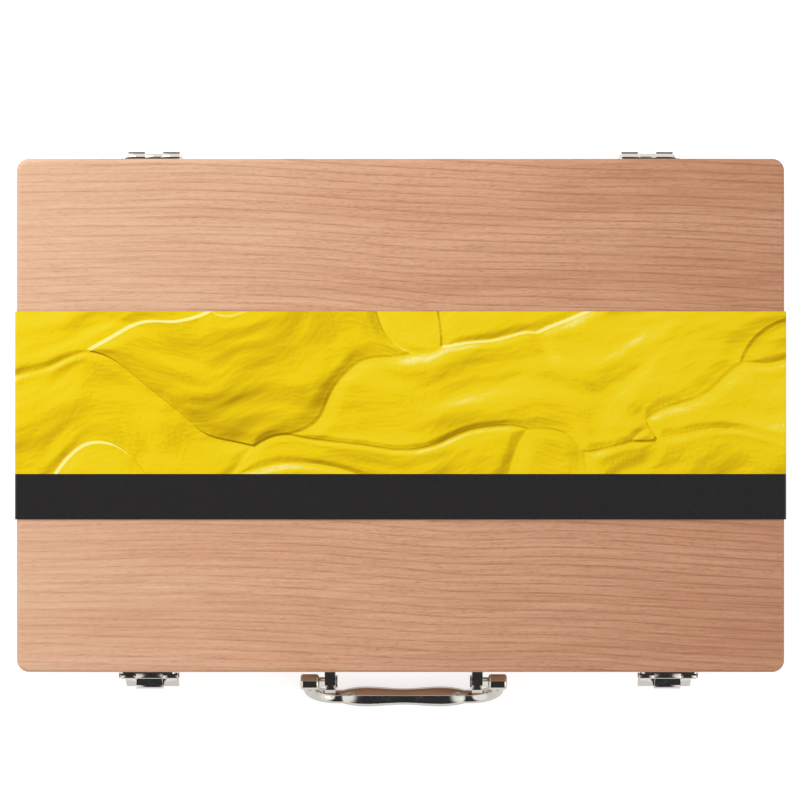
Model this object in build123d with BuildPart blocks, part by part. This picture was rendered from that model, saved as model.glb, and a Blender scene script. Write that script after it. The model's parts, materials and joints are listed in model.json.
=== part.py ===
from build123d import *

import math
import os

# A beech paint case with a lift-up lid, two back hinges, two front flap latches,
# a bail handle and a card sleeve. Millimetres, +Z up, +Y towards the hinges.
# The origin is the centre of the face that the closed case rests on.

# Case
case_length = 384.0
case_width = 257.0
corner_radius = 6.0
board_thickness = 8.0
base_board_height = 36.0
lid_board_height = 16.4
bottom_panel_thickness = 4.0
lid_panel_thickness = 5.0
lid_edge_round = 2.0
bottom_edge_round = 1.0
parting_gap = 0.2
base_finger_count = 4
lid_finger_count = 3

# Card sleeve
card_thickness = 0.5
card_gap = 0.3
sleeve_width = 104.0
sleeve_fold_radius = 0.9
sleeve_seam_gap = 0.1

# Compartments
divider_thickness = 5.0
divider_height = 28.0
paint_bay_depth = 140.0
brush_tip_gap = 16.0

# Screws, all the same size
screw_shank_radius = 1.1
screw_head_radius = 2.1
screw_head_depth = 0.9
screw_length = 6.0

# Hinges
hinge_inset = 67.0
hinge_width = 31.0
hinge_leaf_reach = 13.0
leaf_thickness = 1.0
leaf_corner_radius = 2.0
hinge_axis_offset = 2.3
knuckle_radius = 1.9
pin_radius = 0.9
pin_clearance = 0.06
knuckle_span = 26.0
centre_knuckle_length = 8.6
knuckle_gap = 0.3
knuckle_swing_gap = 0.15
pin_head_radius = 1.4
pin_head_length = 0.7
hinge_screw_spacing = 20.0
lid_open_angle = 95.0
stop_toe_reach = 2.6
stop_toe_gap = 0.1

# Latches
latch_left_inset = 65.0
latch_right_inset = 57.0
latch_plate_width = 28.4
latch_plate_reach = 10.0
latch_axis_offset = 2.9
latch_axis_rise = 5.4
latch_neck_width = 13.2
latch_thumb_width = 27.0
latch_screw_spacing = 19.0
flap_thickness = 1.2
flap_bend_radius = 2.4
flap_shoulder_reach = 9.4
flap_waist_reach = 6.4
flap_thumb_reach = 10.2
flap_length = 24.6
flap_corner_radius = 3.0
tooth_reach = 2.6
tooth_height = 1.5
tooth_width = 10.0
tooth_drop = 16.4
keeper_width = 18.0
keeper_height = 15.0
keeper_ledge_reach = 4.2
keeper_ledge_thickness = 1.2
keeper_ledge_gap = 0.3
keeper_screw_spacing = 9.6

# Handle
handle_x = 1.6
handle_axis_offset = 8.0
handle_axis_height = 27.5
handle_lean_angle = 24.0
handle_arm_length = 23.5
handle_arm_spacing = 96.0
handle_arm_radius = 3.6
handle_bend_radius = 14.0
grip_length = 66.0
grip_end_radius = 3.2
grip_swell_radius = 5.2
grip_waist_radius = 4.3
grip_swell_spacing = 42.0
boss_radius = 4.0
boss_length = 9.5
boss_round = 1.4
handle_pin_radius = 2.5
handle_pin_depth = 6.0
rivet_head_radius = 3.4
rivet_head_length = 1.0
lug_radius = 5.6
lug_thickness = 5.4
lug_root_height = 15.0
lug_side_gap = 3.0
foot_thickness = 1.2
foot_width = 14.0
foot_height = 24.0
foot_round = 2.5
foot_screw_spacing = 18.6

# Contents
tube_count = 10
tube_row_margin = 4.0
tube_gap = 2.0
tube_radius = 11.0
tube_body_length = 92.0
tube_middle_width = 28.4
tube_middle_height = 17.0
tube_crimp_thickness = 2.0
tube_crimp_length = 8.0
tube_front_gap = 7.5
tube_shoulder_length = 5.0
tube_neck_radius = 4.5
tube_neck_length = 7.0
cap_base_radius = 7.0
cap_top_radius = 6.0
cap_length = 17.0
cap_thread_gap = 0.1
brush_count = 3
brush_first_share = 0.15
brush_next_share = 0.1875
brush_end_gap = 9.0
brush_tail_radius = 1.4
brush_belly_radius = 4.0
brush_handle_length = 205.0
brush_belly_length = 172.0
ferrule_radius = 2.9
ferrule_length = 24.0
tuft_length = 18.0
tuft_swell_radius = 3.5
tuft_tip_radius = 0.8
lying_gap = 0.3
knife_share = 0.775
knife_end_gap = 14.0
knife_handle_length = 88.0
knife_handle_radius = 6.0
knife_handle_waist = 4.2
knife_neck_radius = 1.5
knife_neck_length = 42.0
knife_blade_length = 72.0
knife_blade_width = 22.0
knife_blade_thickness = 0.8
knife_swell_share = 0.33
pad_margin = 3.0
pad_thickness = 8.0

# Levels, from the rest face up
base_bottom = card_thickness
inside_floor = base_bottom + bottom_panel_thickness
base_top = inside_floor + base_board_height
parting_height = base_top + parting_gap / 2
lid_bottom = base_top + parting_gap
lid_panel_bottom = lid_bottom + lid_board_height
lid_top = lid_panel_bottom + lid_panel_thickness

# Faces of the case and of its inside
front_face = -case_width / 2
back_face = case_width / 2
inside_half_length = case_length / 2 - board_thickness
inside_half_width = case_width / 2 - board_thickness
divider_back_face = inside_half_width - paint_bay_depth
divider_front_face = divider_back_face - divider_thickness
front_bay_depth = divider_front_face + inside_half_width
front_bay_middle = divider_front_face - front_bay_depth / 2

# Brushes along X, tail to the left; the short divider stands clear of their tips
brush_start = brush_end_gap - inside_half_length
handle_end = brush_start + brush_handle_length
ferrule_end = handle_end + ferrule_length
tuft_end = ferrule_end + tuft_length
short_divider_left = tuft_end + brush_tip_gap
short_divider_right = short_divider_left + divider_thickness
pad_bay_length = inside_half_length - short_divider_right

hinge_spacing = case_length - 2 * hinge_inset
latch_left_x = latch_left_inset - case_length / 2
latch_right_x = case_length / 2 - latch_right_inset

hinge_axis_y = back_face + hinge_axis_offset
bore_radius = pin_radius + pin_clearance
knuckle_clear_radius = knuckle_radius + knuckle_swing_gap
latch_axis_y = front_face - latch_axis_offset
latch_axis_z = parting_height + latch_axis_rise
handle_axis_y = front_face - handle_axis_offset
handle_lug_x = (handle_arm_spacing - boss_length - lug_thickness) / 2 - lug_side_gap

os.makedirs("parts", exist_ok=True)


def save(piece, name):
    """Label a finished piece and write it under its own name."""
    piece.part.label = name
    export_step(piece.part, f"parts/{name}.step")


def drive_screws(places, face_y, outward, mode=Mode.ADD):
    """Countersunk wood screws at (x, z) places, heads flush with the face at face_y."""
    for x, z in places:
        face = Plane(origin=(x, face_y, z), x_dir=(1, 0, 0), z_dir=(0, outward, 0))
        with Locations(face):
            with Locations((0, 0, -screw_head_depth / 2)):
                Cone(screw_shank_radius, screw_head_radius, screw_head_depth, mode=mode)
            with Locations((0, 0, -(screw_head_depth + screw_length) / 2)):
                Cylinder(screw_shank_radius, screw_length - screw_head_depth, mode=mode)


def pair(x, spacing):
    """Two x positions, evenly about x."""
    return [x - spacing / 2, x + spacing / 2]


# Screw places, shared by the plates, the screws and the boards
hinge_screw_rise = (hinge_leaf_reach + knuckle_clear_radius) / 2
hinge_xs = pair(0, hinge_spacing)
hinge_lid_places = [
    (x, parting_height + hinge_screw_rise) for mid in hinge_xs for x in pair(mid, hinge_screw_spacing)
]
hinge_base_places = [
    (x, parting_height - hinge_screw_rise) for mid in hinge_xs for x in pair(mid, hinge_screw_spacing)
]
latch_xs = [latch_left_x, latch_right_x]
latch_plate_bottom = latch_axis_z + knuckle_clear_radius
latch_plate_places = [
    (x, latch_plate_bottom + latch_plate_reach / 2)
    for mid in latch_xs
    for x in pair(mid, latch_screw_spacing)
]
ledge_bottom = latch_axis_z - tooth_drop + tooth_height + keeper_ledge_gap
keeper_middle = ledge_bottom + keeper_ledge_thickness / 2
keeper_places = [(mid, z) for mid in latch_xs for z in pair(keeper_middle, keeper_screw_spacing)]
lug_xs = pair(handle_x, 2 * handle_lug_x)
foot_places = [(mid, z) for mid in lug_xs for z in pair(handle_axis_height, foot_screw_spacing)]


# Case boards
def wall_board(name, low, height, fingers, runs_along_x, side, screws=()):
    """One wall of a finger-jointed frame; the two directions take alternate fingers."""
    pitch = height / fingers
    middle = low + height / 2
    with BuildPart() as board:
        with BuildSketch(Plane.XY.offset(low)):
            RectangleRounded(case_length, case_width, corner_radius)
        extrude(amount=height)
        if runs_along_x:
            with Locations((0, side * (case_width - board_thickness) / 2, middle)):
                Box(case_length, board_thickness, height, mode=Mode.INTERSECT)
        else:
            with Locations((side * (case_length - board_thickness) / 2, 0, middle)):
                Box(board_thickness, case_width, height, mode=Mode.INTERSECT)
        for finger in range(fingers):
            if (finger % 2 == 0) == runs_along_x:
                continue
            finger_middle = low + (finger + 0.5) * pitch
            for end in (-1, 1):
                corner_x = (end if runs_along_x else side) * (case_length - board_thickness) / 2
                corner_y = (side if runs_along_x else end) * (case_width - board_thickness) / 2
                with Locations((corner_x, corner_y, finger_middle)):
                    Box(board_thickness, board_thickness, pitch, mode=Mode.SUBTRACT)
        for places, face_y, outward in screws:
            drive_screws(places, face_y, outward, Mode.SUBTRACT)
    save(board, name)


with BuildPart() as base_bottom_panel:
    with BuildSketch(Plane.XY.offset(base_bottom)):
        RectangleRounded(case_length, case_width, corner_radius)
    extrude(amount=bottom_panel_thickness)
    fillet(base_bottom_panel.faces().sort_by(Axis.Z)[0].edges(), bottom_edge_round)
save(base_bottom_panel, "base_bottom_panel")

with BuildPart() as lid_top_panel:
    with BuildSketch(Plane.XY.offset(lid_panel_bottom)):
        RectangleRounded(case_length, case_width, corner_radius)
    extrude(amount=lid_panel_thickness)
    fillet(lid_top_panel.faces().sort_by(Axis.Z)[-1].edges(), lid_edge_round)
save(lid_top_panel, "lid_top_panel")

plate_front = front_face - leaf_thickness
plate_back = back_face + leaf_thickness
foot_front = front_face - foot_thickness
base_front_screws = [(keeper_places, plate_front, -1), (foot_places, foot_front, -1)]
wall_board(
    "base_front_board", inside_floor, base_board_height, base_finger_count, True, -1, base_front_screws
)
wall_board(
    "base_back_board",
    inside_floor,
    base_board_height,
    base_finger_count,
    True,
    1,
    [(hinge_base_places, plate_back, 1)],
)
wall_board("base_left_board", inside_floor, base_board_height, base_finger_count, False, -1)
wall_board("base_right_board", inside_floor, base_board_height, base_finger_count, False, 1)
wall_board(
    "lid_front_board",
    lid_bottom,
    lid_board_height,
    lid_finger_count,
    True,
    -1,
    [(latch_plate_places, plate_front, -1)],
)
wall_board(
    "lid_back_board",
    lid_bottom,
    lid_board_height,
    lid_finger_count,
    True,
    1,
    [(hinge_lid_places, plate_back, 1)],
)
wall_board("lid_left_board", lid_bottom, lid_board_height, lid_finger_count, False, -1)
wall_board("lid_right_board", lid_bottom, lid_board_height, lid_finger_count, False, 1)

# Dividers
divider_middle_z = inside_floor + divider_height / 2
with BuildPart() as long_divider:
    with Locations((0, (divider_front_face + divider_back_face) / 2, divider_middle_z)):
        Box(2 * inside_half_length, divider_thickness, divider_height)
save(long_divider, "long_divider")

with BuildPart() as short_divider:
    with Locations(((short_divider_left + short_divider_right) / 2, front_bay_middle, divider_middle_z)):
        Box(divider_thickness, front_bay_depth, divider_height)
save(short_divider, "short_divider")


# Hinges: the lid leaf carries two knuckles with a stop toe, the base leaf the middle one
def knuckle_profile(axis_y, axis_z, wood_face, outward, up):
    """Section of a knuckle curled from its leaf, added to the open sketch."""
    offset = abs(axis_y - wood_face)
    with Locations((axis_y, axis_z)):
        Circle(knuckle_radius)
    with Locations((wood_face + outward * offset / 2, axis_z + up * knuckle_radius / 2)):
        Rectangle(offset, knuckle_radius)
    neck_height = knuckle_clear_radius + leaf_corner_radius
    with Locations((wood_face + outward * leaf_thickness / 2, axis_z + up * neck_height / 2)):
        Rectangle(leaf_thickness, neck_height)


def hinge_leaf(name, middle_x, up, knuckles, with_toe):
    """One leaf of a stop hinge; up is +1 on the lid and -1 on the base."""
    plate_height = hinge_leaf_reach - knuckle_clear_radius
    plate_middle = parting_height + up * (knuckle_clear_radius + plate_height / 2)
    with BuildPart() as leaf:
        with BuildSketch(Plane.XZ.offset(-plate_back)):
            with Locations((middle_x, plate_middle)):
                RectangleRounded(hinge_width, plate_height, leaf_corner_radius)
        extrude(amount=leaf_thickness)
        for start, length in knuckles:
            with BuildSketch(Plane.YZ.offset(middle_x + start)):
                knuckle_profile(hinge_axis_y, parting_height, back_face, 1, up)
                if with_toe:
                    toe_height = stop_toe_reach - knuckle_radius / 2
                    toe_depth = hinge_axis_offset - leaf_thickness - stop_toe_gap
                    with Locations(Location((hinge_axis_y, parting_height, 0), (0, 0, lid_open_angle))):
                        with Locations((-toe_depth / 2, -stop_toe_reach + toe_height / 2)):
                            Rectangle(toe_depth, toe_height)
                with Locations((hinge_axis_y, parting_height)):
                    Circle(bore_radius, mode=Mode.SUBTRACT)
            extrude(amount=length)
        places = hinge_lid_places if up > 0 else hinge_base_places
        own = [place for place in places if abs(place[0] - middle_x) < hinge_width / 2]
        drive_screws(own, plate_back, 1, Mode.SUBTRACT)
    save(leaf, name)


def pin_between(name, middle_x, axis_y, axis_z, span):
    """A headed pin along X through a row of knuckles."""
    with BuildPart() as pin:
        with Locations(Location((middle_x, axis_y, axis_z), (0, 90, 0))):
            Cylinder(pin_radius, span + 2 * knuckle_gap)
            for end in (-1, 1):
                with Locations((0, 0, end * (span / 2 + knuckle_gap + pin_head_length / 2))):
                    Cylinder(pin_head_radius, pin_head_length)
    save(pin, name)


outer_length = (knuckle_span - centre_knuckle_length) / 2 - knuckle_gap
outer_knuckles = [(-knuckle_span / 2, outer_length), (knuckle_span / 2 - outer_length, outer_length)]
centre_knuckle = [(-centre_knuckle_length / 2, centre_knuckle_length)]
for side, hinge_x in zip(("left", "right"), hinge_xs):
    hinge_leaf(f"hinge_lid_leaf_{side}", hinge_x, 1, outer_knuckles, True)
    hinge_leaf(f"hinge_base_leaf_{side}", hinge_x, -1, centre_knuckle, False)
    pin_between(f"hinge_pin_{side}", hinge_x, hinge_axis_y, parting_height, knuckle_span)

with BuildPart() as hinge_lid_screws:
    drive_screws(hinge_lid_places, plate_back, 1)
save(hinge_lid_screws, "hinge_lid_screws")

with BuildPart() as hinge_base_screws:
    drive_screws(hinge_base_places, plate_back, 1)
save(hinge_base_screws, "hinge_base_screws")

# Latches: a plate on the lid, a sprung flap that hangs from it and a keeper on the base
flap_knuckle_length = latch_neck_width
plate_knuckle_length = (latch_plate_width - flap_knuckle_length) / 2 - 2 * knuckle_gap
tooth_middle = latch_axis_z - tooth_drop + tooth_height / 2


def latch_plate(name, middle_x):
    """The lid's plate, with a knuckle at each end for the flap's pin."""
    with BuildPart() as plate:
        with BuildSketch(Plane.XZ.offset(-front_face)):
            with Locations((middle_x, latch_plate_bottom + latch_plate_reach / 2)):
                RectangleRounded(latch_plate_width, latch_plate_reach, leaf_corner_radius)
        extrude(amount=leaf_thickness)
        for start in (-latch_plate_width / 2, latch_plate_width / 2 - plate_knuckle_length):
            with BuildSketch(Plane.YZ.offset(middle_x + start)):
                knuckle_profile(latch_axis_y, latch_axis_z, front_face, -1, 1)
                with Locations((latch_axis_y, latch_axis_z)):
                    Circle(bore_radius, mode=Mode.SUBTRACT)
            extrude(amount=plate_knuckle_length)
        own = [place for place in latch_plate_places if abs(place[0] - middle_x) < latch_plate_width / 2]
        drive_screws(own, plate_front, -1, Mode.SUBTRACT)
    save(plate, name)


def latch_flap(name, middle_x):
    """The bowed thumb flap: a neck off the pin, a shoulder, a waist with a tooth and a flare."""
    bottom = latch_axis_z - flap_length
    waist_top = tooth_middle + tooth_height
    waist_bottom = tooth_middle - tooth_height - tooth_height / 2
    with BuildPart() as flap:
        with BuildSketch(Plane.YZ.offset(middle_x)):
            with BuildLine():
                FilletPolyline(
                    (latch_axis_y, latch_axis_z),
                    (front_face - flap_shoulder_reach, latch_axis_z - knuckle_radius),
                    (front_face - flap_shoulder_reach, latch_axis_z - flap_shoulder_reach),
                    (front_face - flap_waist_reach, waist_top),
                    (front_face - flap_waist_reach, waist_bottom),
                    (front_face - flap_thumb_reach, bottom),
                    radius=flap_bend_radius,
                )
            trace(line_width=flap_thickness)
        extrude(amount=latch_thumb_width / 2, both=True)
        with BuildSketch(Plane.XZ.offset(-front_face)):
            with BuildLine():
                Polyline(
                    (middle_x - latch_neck_width / 2, latch_axis_z + knuckle_radius),
                    (middle_x + latch_neck_width / 2, latch_axis_z + knuckle_radius),
                    (middle_x + latch_neck_width / 2, waist_top + tooth_height),
                    (middle_x + latch_thumb_width / 2, waist_bottom),
                    (middle_x + latch_thumb_width / 2, bottom - flap_thickness),
                    (middle_x - latch_thumb_width / 2, bottom - flap_thickness),
                    (middle_x - latch_thumb_width / 2, waist_bottom),
                    (middle_x - latch_neck_width / 2, waist_top + tooth_height),
                    close=True,
                )
            outline = make_face()
            corners = outline.vertices().filter_by(lambda v: v.Z < waist_bottom + tooth_height)
            fillet(corners, flap_corner_radius)
        extrude(amount=flap_shoulder_reach + flap_thumb_reach, mode=Mode.INTERSECT)
        with Locations(Location((middle_x, latch_axis_y, latch_axis_z), (0, 90, 0))):
            Cylinder(knuckle_radius, flap_knuckle_length)
            Cylinder(bore_radius, flap_knuckle_length, mode=Mode.SUBTRACT)
        tooth_depth = flap_waist_reach - tooth_reach
        with Locations((middle_x, front_face - tooth_reach - tooth_depth / 2, tooth_middle)):
            Box(tooth_width, tooth_depth, tooth_height)
    save(flap, name)


def latch_keeper(name, middle_x):
    """The base's plate, whose ledge holds the flap's tooth down."""
    with BuildPart() as keeper:
        with BuildSketch(Plane.XZ.offset(-front_face)):
            with Locations((middle_x, keeper_middle)):
                RectangleRounded(keeper_width, keeper_height, leaf_corner_radius)
        extrude(amount=leaf_thickness)
        with Locations((middle_x, front_face - keeper_ledge_reach / 2, keeper_middle)):
            Box(tooth_width, keeper_ledge_reach, keeper_ledge_thickness)
        own = [place for place in keeper_places if abs(place[0] - middle_x) < keeper_width / 2]
        drive_screws(own, plate_front, -1, Mode.SUBTRACT)
    save(keeper, name)


latch_pin_span = latch_plate_width
for side, latch_x in zip(("left", "right"), latch_xs):
    latch_plate(f"latch_plate_{side}", latch_x)
    latch_flap(f"latch_flap_{side}", latch_x)
    latch_keeper(f"latch_keeper_{side}", latch_x)
    pin_between(f"latch_pin_{side}", latch_x, latch_axis_y, latch_axis_z, latch_pin_span)

with BuildPart() as latch_plate_screws:
    drive_screws(latch_plate_places, plate_front, -1)
save(latch_plate_screws, "latch_plate_screws")

with BuildPart() as latch_keeper_screws:
    drive_screws(keeper_places, plate_front, -1)
save(latch_keeper_screws, "latch_keeper_screws")

# Handle: a bail whose grip rests near the table, leaning out from its two lugs
lean = math.radians(handle_lean_angle)
bail_plane = Plane(
    origin=(handle_x, handle_axis_y, handle_axis_height),
    x_dir=(1, 0, 0),
    z_dir=(0, -math.cos(lean), math.sin(lean)),
)
arm_x = handle_arm_spacing / 2
boss_inner_x = arm_x - boss_length / 2

with BuildPart() as handle_bail:
    with BuildLine(bail_plane) as bail_path:
        FilletPolyline(
            (-arm_x, 0),
            (-arm_x, -handle_arm_length),
            (arm_x, -handle_arm_length),
            (arm_x, 0),
            radius=handle_bend_radius,
        )
    with BuildSketch(Plane(origin=bail_path.line @ 0, z_dir=bail_path.line % 0)):
        Circle(handle_arm_radius)
    sweep()
    with BuildSketch(bail_plane) as grip_section:
        with BuildLine():
            half_grip = grip_length / 2
            swell = grip_swell_spacing / 2
            Spline(
                (-half_grip, -handle_arm_length + grip_end_radius),
                (-swell, -handle_arm_length + grip_swell_radius),
                (0, -handle_arm_length + grip_waist_radius),
                (swell, -handle_arm_length + grip_swell_radius),
                (half_grip, -handle_arm_length + grip_end_radius),
            )
            Polyline(
                (half_grip, -handle_arm_length + grip_end_radius),
                (half_grip, -handle_arm_length),
                (-half_grip, -handle_arm_length),
                (-half_grip, -handle_arm_length + grip_end_radius),
            )
        make_face()
    grip_centre = bail_plane.from_local_coords(Vector(0, -handle_arm_length, 0))
    revolve(axis=Axis(grip_centre, (1, 0, 0)))
    for end in (-1, 1):
        with BuildPart(mode=Mode.PRIVATE) as boss:
            boss_x = handle_x + end * arm_x
            with Locations(Location((boss_x, handle_axis_y, handle_axis_height), (0, 90, 0))):
                Cylinder(boss_radius, boss_length)
            fillet(boss.edges().filter_by(GeomType.CIRCLE), boss_round)
        add(boss.part)
        bore_x = handle_x + end * (boss_inner_x + handle_pin_depth / 2)
        with Locations(Location((bore_x, handle_axis_y, handle_axis_height), (0, 90, 0))):
            Cylinder(handle_pin_radius, handle_pin_depth, mode=Mode.SUBTRACT)
save(handle_bail, "handle_bail")

for side, end, lug_x in zip(("left", "right"), (-1, 1), lug_xs):
    with BuildPart() as handle_bracket:
        with BuildSketch(Plane.YZ.offset(lug_x - lug_thickness / 2)):
            with Locations((handle_axis_y, handle_axis_height)):
                Circle(lug_radius)
            with Locations((front_face - foot_thickness / 2, handle_axis_height)):
                Rectangle(foot_thickness, lug_root_height)
            make_hull()
        extrude(amount=lug_thickness)
        with BuildSketch(Plane.XZ.offset(-front_face)):
            with Locations((lug_x, handle_axis_height)):
                RectangleRounded(foot_width, foot_height, foot_round)
        extrude(amount=foot_thickness)
        with Locations(Location((lug_x, handle_axis_y, handle_axis_height), (0, 90, 0))):
            Cylinder(handle_pin_radius + pin_clearance, lug_thickness, mode=Mode.SUBTRACT)
        own = [place for place in foot_places if place[0] == lug_x]
        drive_screws(own, foot_front, -1, Mode.SUBTRACT)
    save(handle_bracket, f"handle_bracket_{side}")

    outer_x = handle_x + end * (boss_inner_x + handle_pin_depth)
    inner_x = lug_x - end * (lug_thickness / 2 + pin_clearance)
    with BuildPart() as handle_pin:
        pin_x = (outer_x + inner_x) / 2
        with Locations(Location((pin_x, handle_axis_y, handle_axis_height), (0, 90, 0))):
            Cylinder(handle_pin_radius, abs(outer_x - inner_x))
        rivet_x = inner_x - end * rivet_head_length / 2
        with Locations(Location((rivet_x, handle_axis_y, handle_axis_height), (0, 90, 0))):
            Cylinder(rivet_head_radius, rivet_head_length)
    save(handle_pin, f"handle_pin_{side}")

with BuildPart() as handle_screws:
    drive_screws(foot_places, foot_front, -1)
save(handle_screws, "handle_screws")

# Card sleeve, opened along its two lower folds
sleeve_inner_x = case_length / 2 + card_gap
sleeve_outer_x = sleeve_inner_x + card_thickness
sleeve_top = lid_top + card_gap + card_thickness
with BuildPart() as sleeve_wrap:
    with Locations((0, 0, sleeve_top / 2)):
        Box(2 * sleeve_outer_x, sleeve_width, sleeve_top)
    fillet(sleeve_wrap.edges().filter_by(Axis.Y).group_by(Axis.Z)[-1], sleeve_fold_radius)
    with BuildPart(mode=Mode.PRIVATE) as sleeve_hollow:
        hollow_height = sleeve_top - card_thickness
        with Locations((0, 0, hollow_height / 2)):
            Box(2 * sleeve_inner_x, sleeve_width, hollow_height)
        inner_folds = sleeve_hollow.edges().filter_by(Axis.Y).group_by(Axis.Z)[-1]
        fillet(inner_folds, sleeve_fold_radius - card_thickness)
    add(sleeve_hollow.part, mode=Mode.SUBTRACT)
save(sleeve_wrap, "sleeve_wrap")

with BuildPart() as sleeve_underside:
    with Locations((0, 0, card_thickness / 2)):
        Box(2 * (sleeve_inner_x - sleeve_seam_gap), sleeve_width, card_thickness)
save(sleeve_underside, "sleeve_underside")

# Paint tubes, crimped end to the front, and their caps
tube_front = divider_back_face + tube_front_gap
body_start = tube_front + tube_crimp_length
body_end = body_start + tube_body_length - tube_crimp_length
tube_axis_z = inside_floor + tube_radius
tube_pitch = 2 * (inside_half_length - tube_row_margin) / tube_count
tube_crimp_width = tube_pitch - tube_gap
shoulder_end = body_end + tube_shoulder_length
tube_xs = [(index - (tube_count - 1) / 2) * tube_pitch for index in range(tube_count)]
for index, tube_x in enumerate(tube_xs):
    with BuildPart() as paint_tube:
        for y, width, height in (
            (body_start, tube_crimp_width, tube_crimp_thickness),
            ((body_start + body_end) / 2, tube_middle_width, tube_middle_height),
            (body_end, 2 * tube_radius, 2 * tube_radius),
        ):
            with BuildSketch(Plane(origin=(tube_x, y, tube_axis_z), x_dir=(1, 0, 0), z_dir=(0, 1, 0))):
                Ellipse(width / 2, height / 2)
        loft()
        with Locations((tube_x, tube_front + tube_crimp_length / 2, tube_axis_z)):
            Box(tube_crimp_width, tube_crimp_length, tube_crimp_thickness)
        shoulder = Plane(origin=(tube_x, body_end, tube_axis_z), x_dir=(1, 0, 0), z_dir=(0, 1, 0))
        with Locations(shoulder):
            with Locations((0, 0, tube_shoulder_length / 2)):
                Cone(tube_radius, tube_neck_radius, tube_shoulder_length)
            with Locations((0, 0, tube_shoulder_length + tube_neck_length / 2)):
                Cylinder(tube_neck_radius, tube_neck_length)
    save(paint_tube, f"paint_tube_{index + 1:02d}")

with BuildPart() as tube_caps:
    for tube_x in tube_xs:
        cap_base = Plane(origin=(tube_x, shoulder_end, tube_axis_z), x_dir=(1, 0, 0), z_dir=(0, 1, 0))
        with Locations(cap_base):
            with Locations((0, 0, cap_length / 2)):
                Cone(cap_base_radius, cap_top_radius, cap_length)
            with Locations((0, 0, tube_neck_length / 2)):
                Cylinder(tube_neck_radius + cap_thread_gap, tube_neck_length, mode=Mode.SUBTRACT)
save(tube_caps, "tube_caps")

# Brushes and knife lie in lanes, each a share of the front bay's depth
brush_axis_z = inside_floor + brush_belly_radius + lying_gap
brush_shares = [brush_first_share + index * brush_next_share for index in range(brush_count)]
brush_ys = [divider_front_face - share * front_bay_depth for share in brush_shares]


def turned(places, outline):
    """Solids turned about an X-wise axis at each y, from (x, radius) points."""
    for y in places:
        with BuildSketch(Plane.XZ.offset(-y)) as half_section:
            with BuildLine():
                first, last = outline[0], outline[-1]
                Spline(*[(x, brush_axis_z + radius) for x, radius in outline])
                Polyline(
                    (last[0], brush_axis_z + last[1]),
                    (last[0], brush_axis_z),
                    (first[0], brush_axis_z),
                    (first[0], brush_axis_z + first[1]),
                )
            make_face()
        revolve(half_section.sketch, axis=Axis((0, y, brush_axis_z), (1, 0, 0)))


with BuildPart() as brush_handles:
    belly_x = brush_start + brush_belly_length
    tail_x = brush_start + brush_belly_length / 2
    tail_radius = (brush_tail_radius + brush_belly_radius) / 2
    turned(
        brush_ys,
        [
            (brush_start, brush_tail_radius),
            (tail_x, tail_radius),
            (belly_x, brush_belly_radius),
            (handle_end, ferrule_radius),
        ],
    )
save(brush_handles, "brush_handles")

with BuildPart() as brush_ferrules:
    for brush_y in brush_ys:
        ferrule_middle = (handle_end + ferrule_end) / 2
        with Locations(Location((ferrule_middle, brush_y, brush_axis_z), (0, 90, 0))):
            Cylinder(ferrule_radius, ferrule_length)
save(brush_ferrules, "brush_ferrules")

with BuildPart() as brush_tufts:
    turned(
        brush_ys,
        [
            (ferrule_end, ferrule_radius),
            (ferrule_end + tuft_length / 2, tuft_swell_radius),
            (tuft_end, tuft_tip_radius),
        ],
    )
save(brush_tufts, "brush_tufts")

# Palette knife beside the brushes
knife_y = divider_front_face - knife_share * front_bay_depth
knife_z = inside_floor + knife_handle_radius + lying_gap
knife_start = knife_end_gap - inside_half_length
knife_grip_end = knife_start + knife_handle_length
blade_start = knife_grip_end + knife_neck_length
blade_end = blade_start + knife_blade_length
with BuildPart() as knife_handle:
    with BuildSketch(Plane.XZ.offset(-knife_y)):
        with BuildLine():
            peak = (knife_start + knife_swell_share * knife_handle_length, knife_z + knife_handle_radius)
            Spline((knife_start, knife_z + knife_handle_waist), peak, tangents=((1, 0.4), (1, 0)))
            Spline(peak, (knife_grip_end, knife_z + knife_handle_waist), tangents=((1, 0), (1, -0.05)))
            Polyline(
                (knife_grip_end, knife_z + knife_handle_waist),
                (knife_grip_end, knife_z),
                (knife_start, knife_z),
                (knife_start, knife_z + knife_handle_waist),
            )
        make_face()
    revolve(axis=Axis((0, knife_y, knife_z), (1, 0, 0)))
save(knife_handle, "knife_handle")

with BuildPart() as knife_blade:
    neck_length = blade_start - knife_grip_end
    with Locations(Location((knife_grip_end + neck_length / 2, knife_y, knife_z), (0, 90, 0))):
        Cylinder(knife_neck_radius, neck_length)
    with BuildSketch(Plane.XY.offset(knife_z - knife_blade_thickness / 2)):
        with BuildLine():
            heel = blade_start - knife_neck_radius
            widest = blade_start + knife_swell_share * knife_blade_length
            half_blade = knife_blade_width / 2
            Spline(
                (widest, knife_y - half_blade),
                (blade_end, knife_y),
                (widest, knife_y + half_blade),
                tangents=((1, 0), (-1, 0)),
            )
            Polyline(
                (widest, knife_y + half_blade),
                (heel, knife_y + knife_neck_radius),
                (heel, knife_y - knife_neck_radius),
                (widest, knife_y - half_blade),
            )
        make_face()
    extrude(amount=knife_blade_thickness)
save(knife_blade, "knife_blade")

# Tear-off palette pad in the right front bay
with BuildPart() as palette_pad:
    pad_x = inside_half_length - pad_bay_length / 2
    with Locations((pad_x, front_bay_middle, inside_floor + pad_thickness / 2)):
        Box(pad_bay_length - 2 * pad_margin, front_bay_depth - 2 * pad_margin, pad_thickness)
save(palette_pad, "palette_pad")
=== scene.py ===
# %% [markdown]
# # A beech paint case, dressed for its picture
# The construction is already done: boards, hinges, latches and handle come as solids at
# their real size. This lesson gives them their finishes, and models the few small things
# that the solids leave plain: screw heads, ribbed caps, brush ferrules and hair, and the
# sheets of a pad. Everything is in metres, and the case lies at the origin, lid up.

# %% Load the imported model
import json
import math
import random

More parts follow.
